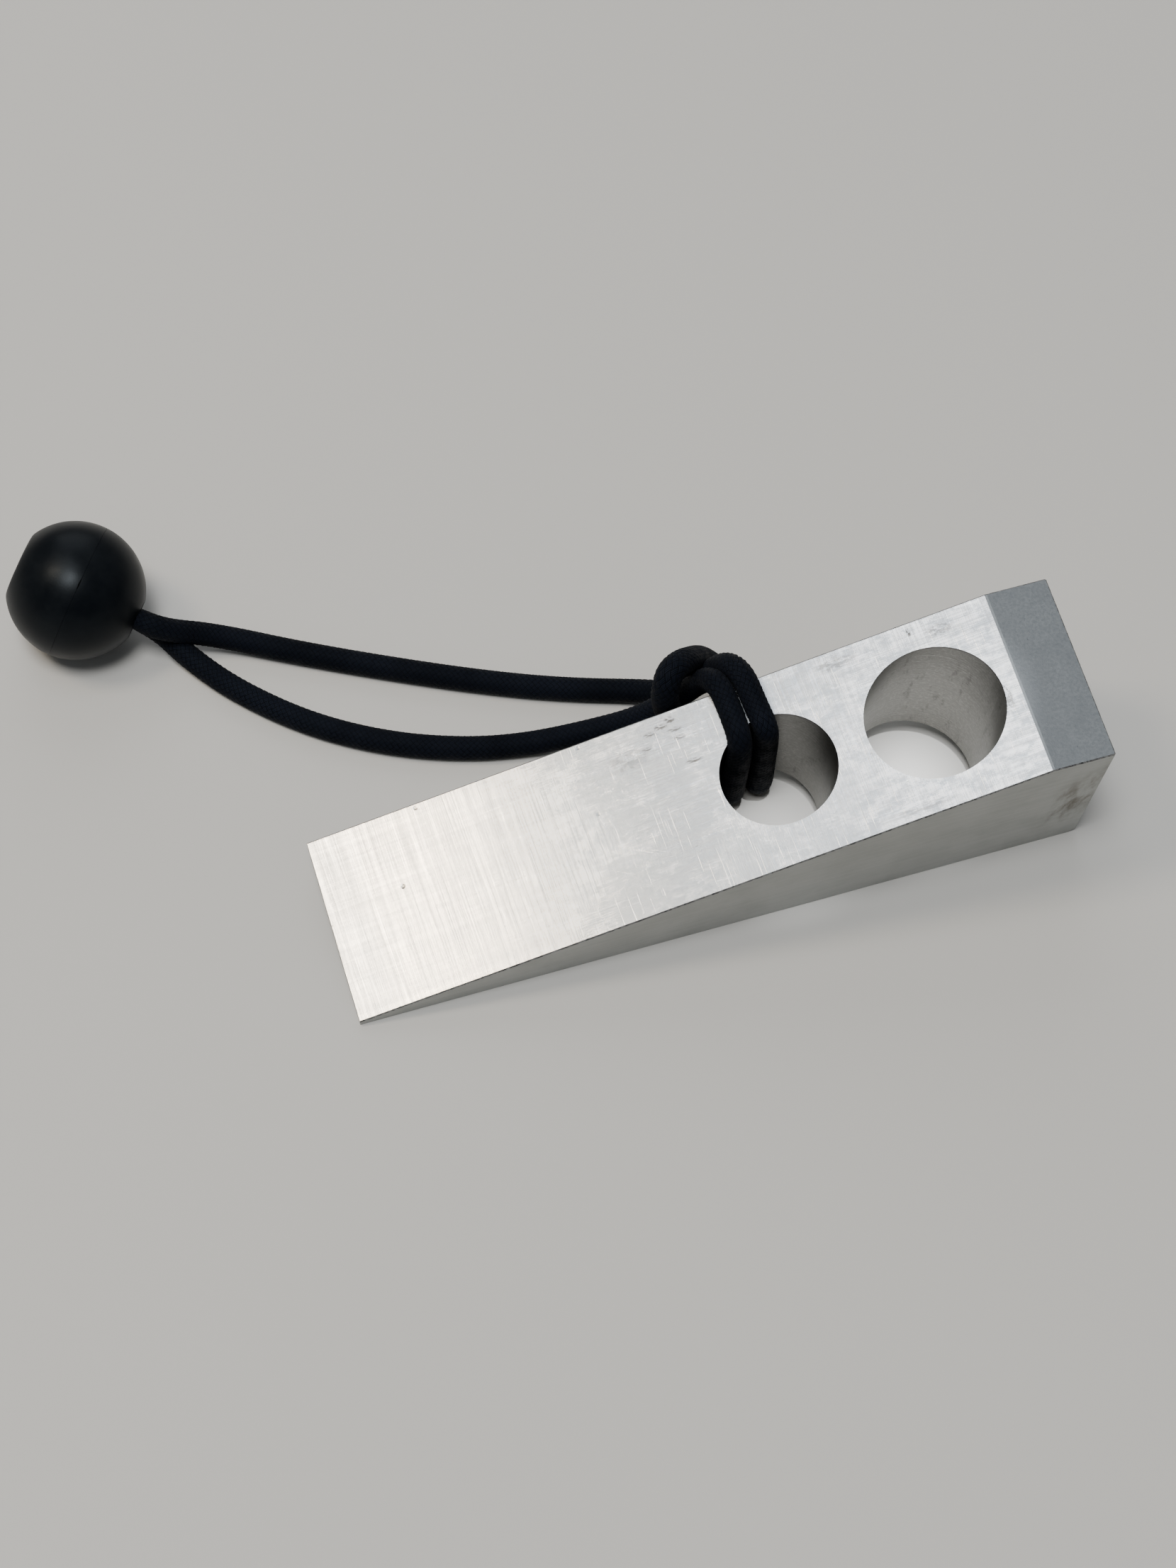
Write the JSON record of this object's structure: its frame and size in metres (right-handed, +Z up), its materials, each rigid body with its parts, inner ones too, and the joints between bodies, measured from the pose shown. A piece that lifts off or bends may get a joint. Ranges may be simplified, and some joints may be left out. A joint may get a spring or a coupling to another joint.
{
  "type": "wedge",
  "caption": "Solid metal wedge with square edges and bores across it, and an elastic cord with a ball hitched round the web between bore and side.",
  "frame": {"origin": "centre of the wedge block's footprint, on the surface it lies on", "axes": "+Z up, +X from the thin tip to the heel along the block's length, +Y towards the side where the cord and ball lie"},
  "size_m": [0.1905, 0.1241, 0.0437],
  "materials": {
    "bare_metal": "brushed, bare, lightly worn",
    "cord": "braided sheath over a rubber core",
    "ball": "satin moulded"
  },
  "bodies": {
    "wedge": {"wedge_block": "bare_metal", "cord": "cord", "end_knot": "cord"},
    "ball": {"ball": "ball"}
  },
  "joints": [
    {"name": "ball_spin", "type": "hinge", "parent": "wedge", "child": "ball", "pos_m": [-0.1031, 0.08834, 0.014], "axis": [0.7791, -0.5455, -0.309], "continuous": true}
  ]
}
